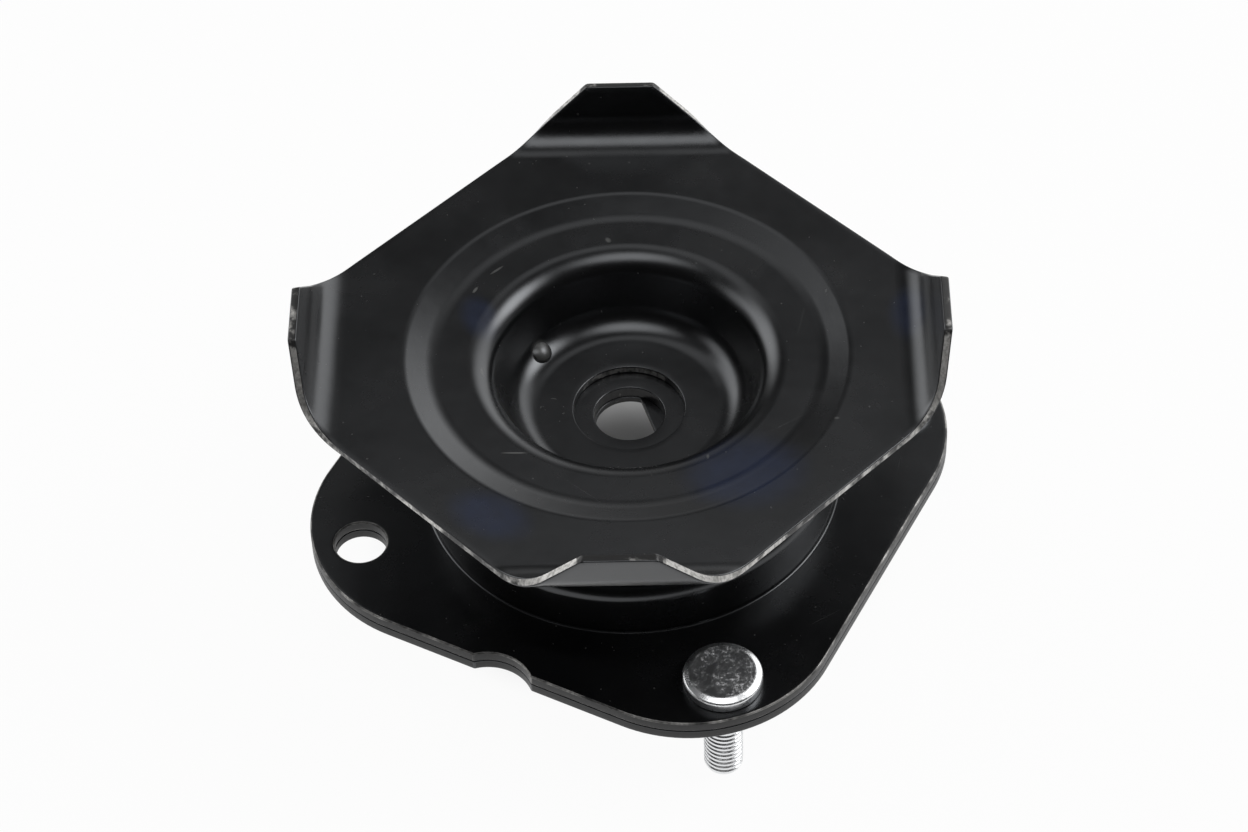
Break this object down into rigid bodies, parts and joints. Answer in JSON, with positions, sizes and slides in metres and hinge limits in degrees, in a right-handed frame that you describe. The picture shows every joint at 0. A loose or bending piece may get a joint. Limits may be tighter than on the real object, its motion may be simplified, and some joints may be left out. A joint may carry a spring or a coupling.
{
  "type": "strut mount",
  "caption": "Suspension strut mount: a square pressed spring seat with turned-up corners and a deep bowl, bonded by a rubber bush to a drum plate with threaded studs.",
  "frame": {"origin": "on the rod axis, in the face of the mount plate that bolts to the car's body", "axes": "+Z along the rod axis from the body towards the spring seat, +X and +Y through two corners of the spring seat"},
  "size_m": [0.1333, 0.1326, 0.0759],
  "materials": {
    "seat_paint": "glossy black dip paint over pressed steel, bare on the sheared edges",
    "inner_paint": "glossy black dip paint over pressed steel",
    "plate_paint": "glossy black dip paint over pressed steel, bare on the sheared edges",
    "bush_rubber": "matt black moulded rubber",
    "stud_zinc": "bright zinc plate"
  },
  "bodies": {
    "root": {"spring_seat": "seat_paint", "inner_cup": "inner_paint", "keyed_plate": "inner_paint", "rubber_bush": "bush_rubber", "drum_plate": "plate_paint", "body_plate": "plate_paint", "studs": "stud_zinc"}
  },
  "joints": []
}
